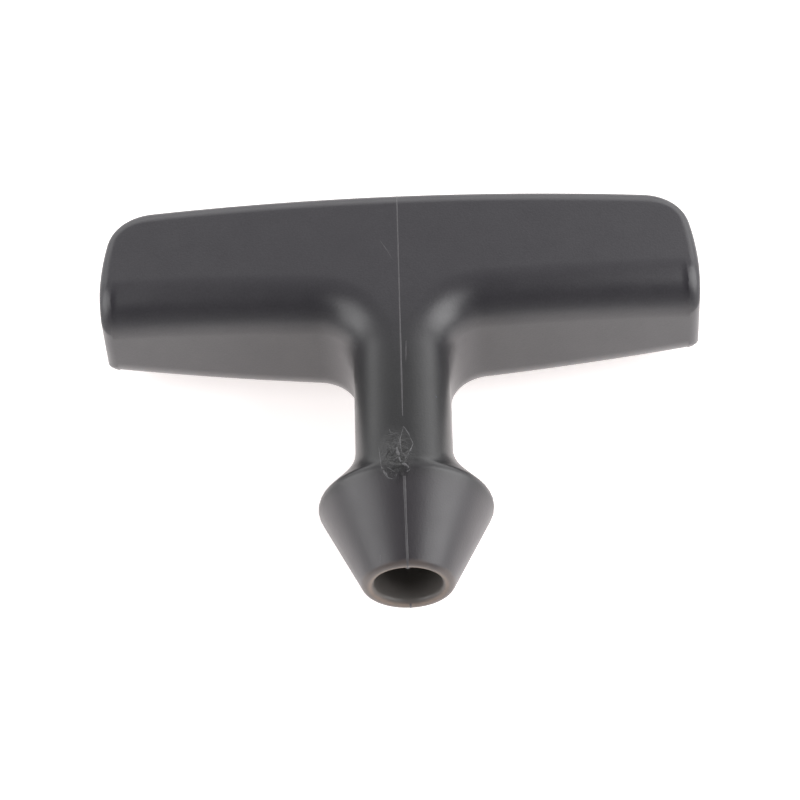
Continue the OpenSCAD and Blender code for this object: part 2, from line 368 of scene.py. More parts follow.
# %% Sizes of the nose and the rope way
RIM_RADIUS = 1 * MM
MOUTH_DEPTH = 7 * MM
TAPER_LENGTH = 5 * MM
ROPE_HOLE_RADIUS = 2.5 * MM
POCKET_DEPTH = 14 * MM
CREST_RADIUS = 1.2 * MM
SHOULDER_ANGLE = 42
# The shoulder runs on inside the stem, down to this radius
SHOULDER_FOOT = 3 * MM
# The rope hole runs this far into the pocket, which is bored later
HOLE_OVERLAP = 1 * MM
# Two rings this close to each other keep an edge crisp
EDGE_HOLD = 0.15 * MM
print(f"rope hole {2 * ROPE_HOLE_RADIUS / MM:.1f} mm, mouth {2 * MOUTH_RADIUS / MM:.1f} mm")

# %% Rails of the rope way and the nose
# Each point is (radius, distance from the tip), from deep inside round the rim and back outside
RIM = Vector((MOUTH_RADIUS + RIM_RADIUS, RIM_RADIUS))
CREST = Vector((NOSE_RADIUS - CREST_RADIUS, CREST_FROM_TIP))
rim_to_crest = CREST - RIM
CONE_ANGLE = math.degrees(math.atan2(rim_to_crest.x, rim_to_crest.y)
                          + math.asin((CREST_RADIUS - RIM_RADIUS) / rim_to_crest.length))
taper_end = MOUTH_DEPTH + TAPER_LENGTH
way_end = BACK_Y - TIP_Y - POCKET_DEPTH + HOLE_OVERLAP

rope_way = [Vector((0, way_end)), Vector((ROPE_HOLE_RADIUS, way_end))]
rope_way += line((ROPE_HOLE_RADIUS, taper_end + EDGE_HOLD), (ROPE_HOLE_RADIUS, taper_end), 1)
rope_way += line((ROPE_HOLE_RADIUS, taper_end), (MOUTH_RADIUS, MOUTH_DEPTH), 6)[1:]
rope_way += line((MOUTH_RADIUS, MOUTH_DEPTH - EDGE_HOLD), (MOUTH_RADIUS, RIM_RADIUS), 8)
rim = arc(RIM, RIM_RADIUS, 180, 360 - CONE_ANGLE, 16)[1:]
cone_end = CREST + CREST_RADIUS * Vector((math.cos(math.radians(CONE_ANGLE)),
                                          -math.sin(math.radians(CONE_ANGLE))))
cone = line(rim[-1], cone_end, 44)[1:]
crest = arc(CREST, CREST_RADIUS, -CONE_ANGLE, SHOULDER_ANGLE, 12)[1:]
shoulder_run = (crest[-1].x - SHOULDER_FOOT) / math.tan(math.radians(SHOULDER_ANGLE))
shoulder = line(crest[-1], (SHOULDER_FOOT, crest[-1].y + shoulder_run), 56)[1:]
turned = rope_way + rim + cone + crest + shoulder
print(f"{len(turned)} rings on the rope way and the nose")

# %% Sizes of the grip as seen from above
GRIP_DEPTH = 22 * MM
GRIP_END_DEPTH = 19 * MM
EDGE_RADIUS = 2.8 * MM
END_EDGE_RADIUS = 1.5 * MM
BACK_CORNER_RADIUS = 7 * MM
FINGER_CORNER_RADIUS = 1.8 * MM
FACE_CORNER_RADIUS = 0.8 * MM
END_RADIUS = 40 * MM
LONGEST_FROM_BACK = 14.5 * MM
HALF_STEM = 7.1 * MM
ROOT_RADIUS = 6 * MM
HALF_STRIP = 0.6 * MM
FINGER_ROLL = HALF_STEM - HALF_STRIP
print(f"the large roll has a radius of {FINGER_ROLL / MM:.1f} mm")

# %% Centres of the arcs
finger_y0 = BACK_Y - GRIP_DEPTH
finger_slope = (GRIP_DEPTH - GRIP_END_DEPTH) / HALF_LENGTH
finger_lean = math.degrees(math.atan(finger_slope))
lean_normal = Vector((math.sin(math.radians(finger_lean)), -math.cos(math.radians(finger_lean))))
end_finger_y = finger_y0 + finger_slope * HALF_LENGTH

hollow_x = HALF_STEM + ROOT_RADIUS
hollow = Vector((hollow_x, finger_y0 + finger_slope * hollow_x
                 - ROOT_RADIUS / math.cos(math.radians(finger_lean))))
end_centre = Vector((HALF_LENGTH - END_RADIUS, BACK_Y - LONGEST_FROM_BACK))


def corner_centre(y, radius):
    """Centre of a corner's arc that runs into the bulging end."""
    reach = math.sqrt((END_RADIUS - radius) ** 2 - (y - end_centre.y) ** 2)
    return Vector((end_centre.x + reach, y))


def end_angle(point):
    """Angle on the end's bulge, in degrees, at which a point lies."""
    return math.degrees(math.atan2(point.y - end_centre.y, point.x - end_centre.x))


back_corner = corner_centre(BACK_Y - BACK_CORNER_RADIUS, BACK_CORNER_RADIUS)
finger_corner = corner_centre(end_finger_y + FINGER_CORNER_RADIUS, FINGER_CORNER_RADIUS)
face_end_x = end_centre.x + math.sqrt((END_RADIUS - END_EDGE_RADIUS) ** 2
                                      - (end_finger_y + FINGER_ROLL - end_centre.y) ** 2)
face_corner = Vector((face_end_x - FACE_CORNER_RADIUS,
                      end_finger_y + FINGER_ROLL + FACE_CORNER_RADIUS))
spine_y = (finger_y0 + FINGER_ROLL + BACK_Y - EDGE_RADIUS) / 2
spine_end = Vector((back_corner.x, spine_y))
print(f"hollow centre {1000 * hollow.x:.2f}, {1000 * hollow.y:.2f} mm")

# %% The edge: the outline that the surface rolls up from
STEM_STEPS, HOLLOW_STEPS, ARM_STEPS = 40, 24, 36
CORNER_STEPS, END_STEPS = 12, 14
stem_from = TIP_Y + shoulder[-1].y + EDGE_HOLD
hollow_stop = 90 + finger_lean
arm_start = arc(hollow, ROOT_RADIUS, hollow_stop, hollow_stop, 1)[0]

edge = line((HALF_STEM, stem_from), (HALF_STEM, hollow.y), STEM_STEPS)
edge += arc(hollow, ROOT_RADIUS, 180, hollow_stop, HOLLOW_STEPS)[1:]
edge += line(arm_start, finger_corner + FINGER_CORNER_RADIUS * lean_normal, ARM_STEPS)[1:]
edge += arc(finger_corner, FINGER_CORNER_RADIUS, finger_lean - 90, end_angle(finger_corner),
            CORNER_STEPS)[1:]
edge += arc(end_centre, END_RADIUS, end_angle(finger_corner), end_angle(back_corner), END_STEPS)[1:]
edge += arc(back_corner, BACK_CORNER_RADIUS, end_angle(back_corner), 90, CORNER_STEPS)[1:]
print(f"edge: {len(edge)} points")

# %% The face: where the roll ends and the broad face begins
face_arm_start = arc(hollow, ROOT_RADIUS + FINGER_ROLL, hollow_stop, hollow_stop, 1)[0]
face = line((HALF_STRIP, stem_from), (HALF_STRIP, hollow.y), STEM_STEPS)
face += arc(hollow, ROOT_RADIUS + FINGER_ROLL, 180, hollow_stop, HOLLOW_STEPS)[1:]
face += line(face_arm_start, face_corner + FACE_CORNER_RADIUS * lean_normal, ARM_STEPS)[1:]
face += arc(face_corner, FACE_CORNER_RADIUS, finger_lean - 90, 0, CORNER_STEPS)[1:]
face += arc(end_centre, END_RADIUS - END_EDGE_RADIUS, end_angle(face_corner),
            end_angle(back_corner), END_STEPS)[1:]

# Round the back corner the end's small edge grows into the back's
corner_edge = [END_EDGE_RADIUS + (EDGE_RADIUS - END_EDGE_RADIUS)
               * math.sin(math.pi / 2 * i / CORNER_STEPS) ** 2 for i in range(CORNER_STEPS + 1)]
corner_points = arc(back_corner, BACK_CORNER_RADIUS, end_angle(back_corner), 90, CORNER_STEPS)
face += [back_corner + (p - back_corner) * (1 - e / BACK_CORNER_RADIUS)
         for p, e in zip(corner_points, corner_edge)][1:]
print(f"face: {len(face)} points")

# %% The spine, and the size of the roll
half_hollow = HOLLOW_STEPS // 2
spine = line((0, stem_from), (0, hollow.y), STEM_STEPS)
spine += line((0, hollow.y), (0, spine_y), half_hollow)[1:]
spine += line((0, spine_y), (arm_start.x, spine_y), half_hollow)[1:]
spine += line((arm_start.x, spine_y), spine_end, ARM_STEPS)[1:]
spine += [spine_end] * (2 * CORNER_STEPS + END_STEPS)

# The large roll runs on to the end, and from the finger corner on the small one is cut over it
finger_steps = STEM_STEPS + 1 + HOLLOW_STEPS + ARM_STEPS
roll = [FINGER_ROLL] * finger_steps
roll += [END_EDGE_RADIUS * math.sin(math.pi / 2 * i / CORNER_STEPS) ** 2
         for i in range(1, CORNER_STEPS + 1)]
roll += [END_EDGE_RADIUS] * END_STEPS + corner_edge[1:]
print(f"spine: {len(spine)} points, roll: {len(roll)} values")

# %% Add the back edge and the nose
# The back edge repeats the spine's own X values, down to the middle
first = STEM_STEPS + half_hollow
back_x = [spine[first + i].x for i in range(half_hollow + ARM_STEPS - 1, -1, -1)]
edge += [Vector((x, BACK_Y)) for x in back_x]
face += [Vector((x, BACK_Y - EDGE_RADIUS)) for x in back_x]
spine += [Vector((x, spine_y)) for x in back_x]
roll += [EDGE_RADIUS] * len(back_x)

ring_y = [TIP_Y + p.y for p in turned]
edge = [Vector((HALF_STEM, y)) for y in ring_y] + edge
face = [Vector((HALF_STRIP, y)) for y in ring_y] + face
spine = [Vector((0, y)) for y in ring_y] + spine
roll = [FINGER_ROLL] * len(turned) + roll
past_fingers = [float(i >= finger_steps + len(turned)) for i in range(len(edge))]
nose = [p.x for p in turned] + [0.0] * (len(edge) - len(turned))

# Up to the crest the section is a circle and nothing else. Behind it the stem sets in smoothly
MELT_IN = 1 * MM
past_crest = [min(1, max(0, (p.y - CREST_FROM_TIP) / MELT_IN)) for p in crest + shoulder]
only_round = [1.0] * (len(turned) - len(past_crest))
only_round += [1 - w * w * (3 - 2 * w) for w in past_crest]
only_round += [0.0] * (len(edge) - len(turned))
print(f"{len(edge)} steps along the rails")


# %% One function that makes the rails a mesh
def rails():
    """A mesh of points only: each holds what the section needs to know at that step."""
    mesh = bpy.data.meshes.new("rails")
    mesh.from_pydata([(p.x, p.y, 0) for p in edge], [], [])
    for name, points in (("face", face), ("spine", spine)):
        layer = mesh.attributes.new(name, "FLOAT_VECTOR", "POINT")
        layer.data.foreach_set("vector", [c for p in points for c in (p.x, p.y, 0)])
    for name, values in (("roll", roll), ("past_fingers", past_fingers), ("nose", nose),
                         ("only_round", only_round)):
        mesh.attributes.new(name, "FLOAT", "POINT").data.foreach_set("value", values)
    rails_object = bpy.data.objects.new("rails", mesh)
    bpy.context.scene.collection.objects.link(rails_object)
    return rails_object


# %% [markdown]
# ## The tree that lofts the handle
# A grid has one column of points for each rail point and one row for each step of the section. The
# tree reads which column and row a point is in, samples the rails, and works out where the point
# goes. A quarter of the handle is made this way, and mirroring it twice gives the whole.

# %% Loft tree, part 1: read the rails
SIDE_ROWS, ROLL_ROWS, FACE_ROWS = 6, 40, 12
loft, given = shape_tree("Loft along rails", {
    "Side Rows": "Int", "Roll Rows": "Int", "Face Rows": "Int", "Thickness": "Float",
    "Crown": "Float", "Half Length": "Float", "Stem Drop": "Float", "Ramp Start": "Float",
    "Ramp End": "Float", "Ramp Power": "Float", "Finger Start": "Float", "Finger Slope": "Float",
    "Finger Roll": "Float", "Side Blend": "Float", "Front Blend": "Float",
    "Axis Height": "Float"})
edge_rows = add(loft, "ShaderNodeMath", {0: given["Side Rows"], 1: given["Roll Rows"]},
                operation="ADD")
last_row = add(loft, "ShaderNodeMath", {0: edge_rows, 1: given["Face Rows"]}, operation="ADD")
rows = add(loft, "ShaderNodeMath", {0: last_row, 1: 1.0}, operation="ADD")
steps = add(loft, "GeometryNodeAttributeDomainSize", {"Geometry": given["Geometry"]},
            output="Point Count", component="MESH")
grid = add(loft, "GeometryNodeMeshGrid", {"Vertices X": steps, "Vertices Y": rows}, output="Mesh")
index = add(loft, "GeometryNodeInputIndex")
in_columns = add(loft, "ShaderNodeMath", {0: index, 1: rows}, operation="DIVIDE")
column = add(loft, "ShaderNodeMath", {0: in_columns}, operation="FLOOR")
row = add(loft, "ShaderNodeMath", {0: index, 1: rows}, operation="MODULO")

rail = {"edge": add(loft, "GeometryNodeInputPosition")}
for name in ("face", "spine"):
    rail[name] = add(loft, "GeometryNodeInputNamedAttribute", {"Name": name},
                     data_type="FLOAT_VECTOR")
for name in ("roll", "past_fingers", "nose", "only_round"):
    rail[name] = add(loft, "GeometryNodeInputNamedAttribute", {"Name": name}, data_type="FLOAT")
for name in rail:
    kind = "FLOAT_VECTOR" if name in ("edge", "face", "spine") else "FLOAT"
    rail[name] = add(loft, "GeometryNodeSampleIndex",
                     {"Geometry": given["Geometry"], "Value": rail[name], "Index": column},
                     data_type=kind)
print(f"{len(loft.nodes)} nodes up to the rails: {', '.join(rail)}")

# %% Loft tree, part 2: the section's place in the plan
side = add(loft, "ShaderNodeMapRange", {"Value": row, "From Max": given["Side Rows"]})
angle = add(loft, "ShaderNodeMapRange", {"Value": row, "From Min": given["Side Rows"],
                                         "From Max": edge_rows, "To Max": math.pi / 2})
across = add(loft, "ShaderNodeMapRange", {"Value": row, "From Min": edge_rows,
                                          "From Max": last_row})
cosine = add(loft, "ShaderNodeMath", {0: angle}, operation="COSINE")
sine = add(loft, "ShaderNodeMath", {0: angle}, operation="SINE")
inward = add(loft, "ShaderNodeMath", {0: 1.0, 1: cosine}, operation="SUBTRACT")
below = add(loft, "ShaderNodeMath", {0: 1.0, 1: sine}, operation="SUBTRACT")
rolled = add(loft, "ShaderNodeMix", {0: inward, 4: rail["edge"], 5: rail["face"]}, output=1,
             data_type="VECTOR")
plan = add(loft, "ShaderNodeMix", {0: across, 4: rolled, 5: rail["spine"]}, output=1,
           data_type="VECTOR")
plan_x = add(loft, "ShaderNodeSeparateXYZ", {0: plan}, output="X")
plan_y = add(loft, "ShaderNodeSeparateXYZ", {0: plan}, output="Y")
print(f"{len(loft.nodes)} nodes up to the place in the plan")

# %% Loft tree, part 3: the thickness there
share = add(loft, "ShaderNodeMath", {0: plan_x, 1: given["Half Length"]}, operation="DIVIDE")
share_squared = add(loft, "ShaderNodeMath", {0: share, 1: share}, operation="MULTIPLY")
thin_end = add(loft, "ShaderNodeMath", {0: share_squared, 1: given["Crown"]}, operation="MULTIPLY")
left_of_ramp = add(loft, "ShaderNodeMapRange",
                   {"Value": plan_y, "From Min": given["Ramp Start"], "From Max": given["Ramp End"],
                    "To Min": 1.0, "To Max": 0.0})
ramp = add(loft, "ShaderNodeMath", {0: left_of_ramp, 1: given["Ramp Power"]}, operation="POWER")
thin_stem = add(loft, "ShaderNodeMath", {0: ramp, 1: given["Stem Drop"]}, operation="MULTIPLY")
half_thickness = add(loft, "ShaderNodeMath", {0: given["Thickness"], 1: 2.0}, operation="DIVIDE")
crowned = add(loft, "ShaderNodeMath", {0: half_thickness, 1: thin_end}, operation="SUBTRACT")
stepped = add(loft, "ShaderNodeMath", {0: crowned, 1: thin_stem}, operation="SUBTRACT")
rolled_down = add(loft, "ShaderNodeMath", {0: rail["roll"], 1: below}, operation="MULTIPLY")
own_roll = add(loft, "ShaderNodeMath", {0: stepped, 1: rolled_down}, operation="SUBTRACT")

# Past the finger corner the large roll is still there, by the distance from the finger side
side_rise = add(loft, "ShaderNodeMath", {0: plan_x, 1: given["Finger Slope"]},
                operation="MULTIPLY")
side_y = add(loft, "ShaderNodeMath", {0: side_rise, 1: given["Finger Start"]}, operation="ADD")
from_side = add(loft, "ShaderNodeMath", {0: plan_y, 1: side_y}, operation="SUBTRACT")
short_of = add(loft, "ShaderNodeMapRange", {"Value": from_side, "From Max": given["Finger Roll"],
                                            "To Min": 1.0, "To Max": 0.0})
squared = add(loft, "ShaderNodeMath", {0: short_of, 1: short_of}, operation="MULTIPLY")
rest = add(loft, "ShaderNodeMath", {0: 1.0, 1: squared}, operation="SUBTRACT")
arch = add(loft, "ShaderNodeMath", {0: rest}, operation="SQRT")
sunk = add(loft, "ShaderNodeMath", {0: 1.0, 1: arch}, operation="SUBTRACT")
sunk_by = add(loft, "ShaderNodeMath", {0: sunk, 1: given["Finger Roll"]}, operation="MULTIPLY")
other_roll = add(loft, "ShaderNodeMath", {0: sunk_by, 1: rail["past_fingers"]},
                 operation="MULTIPLY")
full_height = add(loft, "ShaderNodeMath", {0: own_roll, 1: other_roll}, operation="SUBTRACT")
height = add(loft, "ShaderNodeMath", {0: full_height, 1: side}, operation="MULTIPLY")
print(f"{len(loft.nodes)} nodes up to the height")

# %% Loft tree, part 4: melt the section into the nose, then mirror it twice
section = add(loft, "ShaderNodeCombineXYZ", {"X": plan_x, "Z": height})
radius = add(loft, "ShaderNodeVectorMath", {0: section}, output="Value", operation="LENGTH")
sideways = add(loft, "ShaderNodeMath", {0: plan_x, 1: radius}, operation="DIVIDE")
blend = add(loft, "ShaderNodeMapRange", {"Value": sideways, "To Min": given["Front Blend"],
                                         "To Max": given["Side Blend"]})
melted = add(loft, "ShaderNodeMath", {0: radius, 1: rail["nose"], 2: blend},
             operation="SMOOTH_MAX")
wanted = add(loft, "ShaderNodeMix", {0: rail["only_round"], 2: melted, 3: rail["nose"]},
             data_type="FLOAT")
stretch = add(loft, "ShaderNodeMath", {0: wanted, 1: radius}, operation="DIVIDE")
stretched = add(loft, "ShaderNodeVectorMath", {0: section, "Scale": stretch}, operation="SCALE")
flat_y = add(loft, "ShaderNodeCombineXYZ", {"Y": plan_y})
place = add(loft, "ShaderNodeVectorMath", {0: stretched, 1: flat_y}, operation="ADD")
whole = add(loft, "GeometryNodeSetPosition", {"Geometry": grid, "Position": place})
for mirror in ((1, 1, -1), (-1, 1, 1)):
    turned_over = add(loft, "GeometryNodeTransform", {"Geometry": whole, "Scale": mirror})
    outward = add(loft, "GeometryNodeFlipFaces", {"Mesh": turned_over})
    both = add(loft, "GeometryNodeJoinGeometry", {"Geometry": whole}, output=None)
    loft.links.new(outward, both.inputs["Geometry"])
    whole = both.outputs["Geometry"]
SAME_POINT = 0.004 * MM
merged = add(loft, "GeometryNodeMergeByDistance", {"Geometry": whole, "Distance": SAME_POINT})
up = add(loft, "ShaderNodeCombineXYZ", {"Z": given["Axis Height"]})
lifted = add(loft, "GeometryNodeTransform", {"Geometry": merged, "Translation": up})
smooth = add(loft, "GeometryNodeSetShadeSmooth", {"Geometry": lifted, "Shade Smooth": True})
finish_shape(loft, given, smooth)
print(f"{loft.name}: {len(loft.nodes)} nodes")

# %% Loft the handle
GRIP_THICKNESS = 25.2 * MM
GRIP_CROWN = 3.2 * MM
# As thick as the nose, so that the front of the stem runs flush into the crest
STEM_THICKNESS = 25.8 * MM
# The stem's thickness runs into the grip's between the crest and the finger side
RAMP_END = finger_y0 + FINGER_ROLL / 2
RAMP_POWER = 1.4
# Stem and shoulder melt together widely at the sides and hardly at all on the front
NECK_BLEND = 3.1 * MM
FRONT_BLEND = 0.6 * MM
handle = made_by(loft, rails(), "starter_handle_body", side_rows=SIDE_ROWS, roll_rows=ROLL_ROWS,
                 face_rows=FACE_ROWS, thickness=GRIP_THICKNESS, crown=GRIP_CROWN,
                 half_length=HALF_LENGTH, stem_drop=(GRIP_THICKNESS - STEM_THICKNESS) / 2,
                 ramp_start=CREST_Y, ramp_end=RAMP_END, ramp_power=RAMP_POWER,
                 finger_start=finger_y0, finger_slope=finger_slope, finger_roll=FINGER_ROLL,
                 side_blend=NECK_BLEND, front_blend=FRONT_BLEND, axis_height=AXIS_Z,
                 material=nylon)

# %% [markdown]
# ## The knot pocket
# The rope comes out of its hole into a round pocket in the back of the grip, where its knot sits. A
# cylinder and a shallow cone are cut away, so the pocket's edge is broken as on a moulded part.
# Edges sharper than a set angle are then marked, so that only those shade as edges.

# %% Tree that bores the pocket
bore, given = shape_tree("Bore the knot pocket", {
    "Radius": "Float", "Depth": "Float", "Chamfer": "Float", "Back": "Float",
    "Axis Height": "Float", "Sharp Angle": "Float"})
POCKET_SIDES = 96
long_depth = add(bore, "ShaderNodeMath", {0: given["Depth"], 1: 2.0}, operation="MULTIPLY")
cylinder = add(bore, "GeometryNodeMeshCylinder",
               {"Vertices": POCKET_SIDES, "Radius": given["Radius"], "Depth": long_depth})
twice_chamfer = add(bore, "ShaderNodeMath", {0: given["Chamfer"], 1: 2.0}, operation="MULTIPLY")
wide = add(bore, "ShaderNodeMath", {0: given["Radius"], 1: twice_chamfer}, operation="ADD")
cone_mesh = add(bore, "GeometryNodeMeshCone",
                {"Vertices": POCKET_SIDES, "Radius Top": wide, "Radius Bottom": given["Radius"],
                 "Depth": twice_chamfer})
cone_start = add(bore, "ShaderNodeMath", {0: given["Back"], 1: given["Chamfer"]},
                 operation="SUBTRACT")
cylinder_place = add(bore, "ShaderNodeCombineXYZ",
                     {"Y": given["Back"], "Z": given["Axis Height"]})
cone_place = add(bore, "ShaderNodeCombineXYZ", {"Y": cone_start, "Z": given["Axis Height"]})
cut = add(bore, "GeometryNodeMeshBoolean", {"Mesh 1": given["Geometry"]}, output=None,
          operation="DIFFERENCE", solver="MANIFOLD")
for tool, spot in ((cylinder, cylinder_place), (cone_mesh, cone_place)):
    laid = add(bore, "GeometryNodeTransform",
               {"Geometry": tool, "Translation": spot, "Rotation": (-math.pi / 2, 0, 0)})
    bore.links.new(laid, cut.inputs["Mesh 2"])
all_smooth = add(bore, "GeometryNodeSetShadeSmooth",
                 {"Geometry": cut.outputs["Mesh"], "Shade Smooth": True})
bend = add(bore, "GeometryNodeInputMeshEdgeAngle", output="Unsigned Angle")
is_sharp = add(bore, "ShaderNodeMath", {0: bend, 1: given["Sharp Angle"]},
               operation="GREATER_THAN")
marked = add(bore, "GeometryNodeSetShadeSmooth",
             {"Geometry": all_smooth, "Selection": is_sharp, "Shade Smooth": False}, domain="EDGE")
finish_shape(bore, given, marked)
print(f"{bore.name}: {len(bore.nodes)} nodes")

# %% Bore the pocket and hand the handle over
POCKET_RADIUS = 6.5 * MM
POCKET_CHAMFER = 0.4 * MM
SHARP_ANGLE = 28
handle = made_by(bore, handle, "starter_handle_bored", radius=POCKET_RADIUS, depth=POCKET_DEPTH,
                 chamfer=POCKET_CHAMFER, back=BACK_Y, axis_height=AXIS_Z,
                 sharp_angle=math.radians(SHARP_ANGLE), material=nylon)
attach(handle, "root")
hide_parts("starter_handle")

# %% [markdown]
# ## What the mould and use leave behind
# The two halves of the mould meet in a plane along the middle, and a fine flash stands up all round
# where they met. On the front it breaks off at the gate, whose stub was twisted off there: its torn
# lips curl round in thin pale ridges. A few scratches come from use.
#
# All of these are thin ridges that follow the surface, so one tree makes them. It gets paths as
# edges, lays them on the handle, and sweeps a small round bead along them, sunk so far that only
# its top stands out. A bump in the material could not cast a shadow, or show at the outline.

# %% Tree that lays beads on a surface
bead_tree, given = shape_tree("Beads on a surface", {
    "Surface": "Object", "Radius": "Float", "Sink": "Float", "Spacing": "Float",
    "Unevenness": "Float", "Grain": "Float"})
skin = add(bead_tree, "GeometryNodeObjectInfo", {"Object": given["Surface"]}, output="Geometry")
path = add(bead_tree, "GeometryNodeMeshToCurve", {"Mesh": given["Geometry"]})
even = add(bead_tree, "GeometryNodeResampleCurve", {"Curve": path, "Length": given["Spacing"]},
           mode="LENGTH")
nearest = add(bead_tree, "GeometryNodeProximity", {"Geometry": skin}, output="Position",
              target_element="FACES")
normal = add(bead_tree, "GeometryNodeInputNormal", output="Normal")
outward = add(bead_tree, "GeometryNodeSampleNearestSurface", {"Mesh": skin, "Value": normal},
              output="Value", data_type="FLOAT_VECTOR")

# One factor for each point makes the bead thicker and thinner, and sinks it in step
finer = add(bead_tree, "ShaderNodeMath", {0: 1.0, 1: given["Grain"]}, operation="DIVIDE")
noise = add(bead_tree, "ShaderNodeTexNoise", {"Scale": finer, "Detail": 1.0})
least = add(bead_tree, "ShaderNodeMath", {0: 1.0, 1: given["Unevenness"]}, operation="SUBTRACT")
most = add(bead_tree, "ShaderNodeMath", {0: 1.0, 1: given["Unevenness"]}, operation="ADD")
uneven = add(bead_tree, "ShaderNodeMapRange", {"Value": noise, "From Min": 0.3, "From Max": 0.7,
                                               "To Min": least, "To Max": most})
own = add(bead_tree, "GeometryNodeInputNamedAttribute", {"Name": "thick"}, data_type="FLOAT")
factor = add(bead_tree, "ShaderNodeMath", {0: own, 1: uneven}, operation="MULTIPLY")
radius_here = add(bead_tree, "ShaderNodeMath", {0: given["Radius"], 1: factor},
                  operation="MULTIPLY")
sink_here = add(bead_tree, "ShaderNodeMath", {0: given["Sink"], 1: factor}, operation="MULTIPLY")
inward = add(bead_tree, "ShaderNodeMath", {0: sink_here, 1: -1.0}, operation="MULTIPLY")

# The beads lie on the surface and are swept there
sinking = add(bead_tree, "ShaderNodeVectorMath", {0: outward, "Scale": inward}, operation="SCALE")
laid_at = add(bead_tree, "ShaderNodeVectorMath", {0: nearest, 1: sinking}, operation="ADD")
laid = add(bead_tree, "GeometryNodeSetPosition", {"Geometry": even, "Position": laid_at})
PROFILE_SIDES = 8
profile = add(bead_tree, "GeometryNodeCurvePrimitiveCircle",
              {"Resolution": PROFILE_SIDES, "Radius": 1.0}, output="Curve")
swept = add(bead_tree, "GeometryNodeCurveToMesh",
            {"Curve": laid, "Profile Curve": profile, "Scale": radius_here, "Fill Caps": True})
smooth = add(bead_tree, "GeometryNodeSetShadeSmooth", {"Geometry": swept, "Shade Smooth": True})
finish_shape(bead_tree, given, smooth)
print(f"{bead_tree.name}: {len(bead_tree.nodes)} nodes")

# %% One function that makes beads from strokes
BEAD_SPACING = 0.12 * MM
BEAD_GRAIN = 0.9 * MM
END_FACTOR = 0.45


def beads(name, strokes, radius, sink, material, unevenness=0.25):
    """Beads along strokes. A stroke is a thickness factor and a list of points on the handle."""
    points, edges, factors = [], [], []
    for factor, stroke in strokes:
        edges += [(len(points) + i, len(points) + i + 1) for i in range(len(stroke) - 1)]
        points += stroke
        ends = len(stroke) - 1
        factors += [factor * (END_FACTOR if i in (0, ends) else 1) for i in range(len(stroke))]
    mesh = bpy.data.meshes.new(name)
    mesh.from_pydata(points, edges, [])
    mesh.attributes.new("thick", "FLOAT", "POINT").data.foreach_set("value", factors)
    paths = bpy.data.objects.new(name, mesh)
    bpy.context.scene.collection.objects.link(paths)
    piece = made_by(bead_tree, paths, name, surface=handle, radius=radius, sink=sink,
                    spacing=BEAD_SPACING, unevenness=unevenness, grain=BEAD_GRAIN,
                    material=material)
    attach(piece, "root")


# %% Cut the handle to find the path of the parting line
# The handle's points on the middle plane would upset a cut there, so it is a little beside it
PLANE_X = 0.05 * MM
section = bmesh.new()
section.from_mesh(handle.data)
whole_mesh = section.verts[:] + section.edges[:] + section.faces[:]
bmesh.ops.bisect_plane(section, geom=whole_mesh, plane_co=(PLANE_X, 0, 0), plane_no=(1, 0, 0),
                       clear_inner=True, clear_outer=True)
LINE_X = 0.1 * MM
GATE_GAP = (-19.1 * MM, -9.6 * MM)
POCKET_CLEARANCE = POCKET_RADIUS + POCKET_CHAMFER + 0.1 * MM
MOUTH_CLEARANCE = MOUTH_RADIUS + 0.3 * MM


def shown(point):
    """Whether the line shows there: not inside the rope way, and not at the gate."""
    clear = POCKET_CLEARANCE if point.y > 0 else MOUTH_CLEARANCE
    at_gate = point.z > AXIS_Z and GATE_GAP[0] < point.y < GATE_GAP[1]
    return abs(point.z - AXIS_Z) > clear and not at_gate


bmesh.ops.delete(section, geom=[v for v in section.verts if not shown(v.co)], context="VERTS")
for vertex in section.verts:
    vertex.co.x = LINE_X
line_mesh = bpy.data.meshes.new("line")
section.to_mesh(line_mesh)
section.free()
print(f"{len(line_mesh.vertices)} points along the parting line")

# %% The parting line
# How strongly the line shows, from the tip to the back: (mm from the middle, factor)
LINE_STRENGTH = ((-31, 1.2), (-19.1, 1.4), (-9.6, 0.45), (-5, 0.8), (2, 0.95), (9, 0.7), (31, 0.65))


def strength(y):
    """How strongly the parting line shows at a place along the handle."""
    for (low, weak), (high, strong) in zip(LINE_STRENGTH, LINE_STRENGTH[1:]):
        if y <= high * MM:
            return weak + (strong - weak) * (y / MM - low) / (high - low)
    return LINE_STRENGTH[-1][1]


factors = [strength(v.co.y) for v in line_mesh.vertices]
line_mesh.attributes.new("thick", "FLOAT", "POINT").data.foreach_set("value", factors)
line_path = bpy.data.objects.new("line", line_mesh)
bpy.context.scene.collection.objects.link(line_path)
LINE_RADIUS = 0.4 * MM
LINE_SINK = 0.345 * MM
LINE_SPACING = 0.25 * MM
LINE_GRAIN = 4 * MM
parting_line = made_by(bead_tree, line_path, "parting_line", surface=handle, radius=LINE_RADIUS,
                       sink=LINE_SINK, spacing=LINE_SPACING, unevenness=0.05, grain=LINE_GRAIN,
                       material=rubbed)
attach(parting_line, "root")

# %% Strokes on the front, written in mm as seen from above
handle_faces = BVHTree.FromObject(handle, bpy.context.evaluated_depsgraph_get())


def on_front(factor, *spots):
    """A stroke through spots (x, y) on the front, dropped onto the surface from above."""
    drops = [handle_faces.ray_cast(Vector((x * MM, y * MM, 1)), Vector((0, 0, -1)))[0]
             for x, y in spots]
    return factor, drops


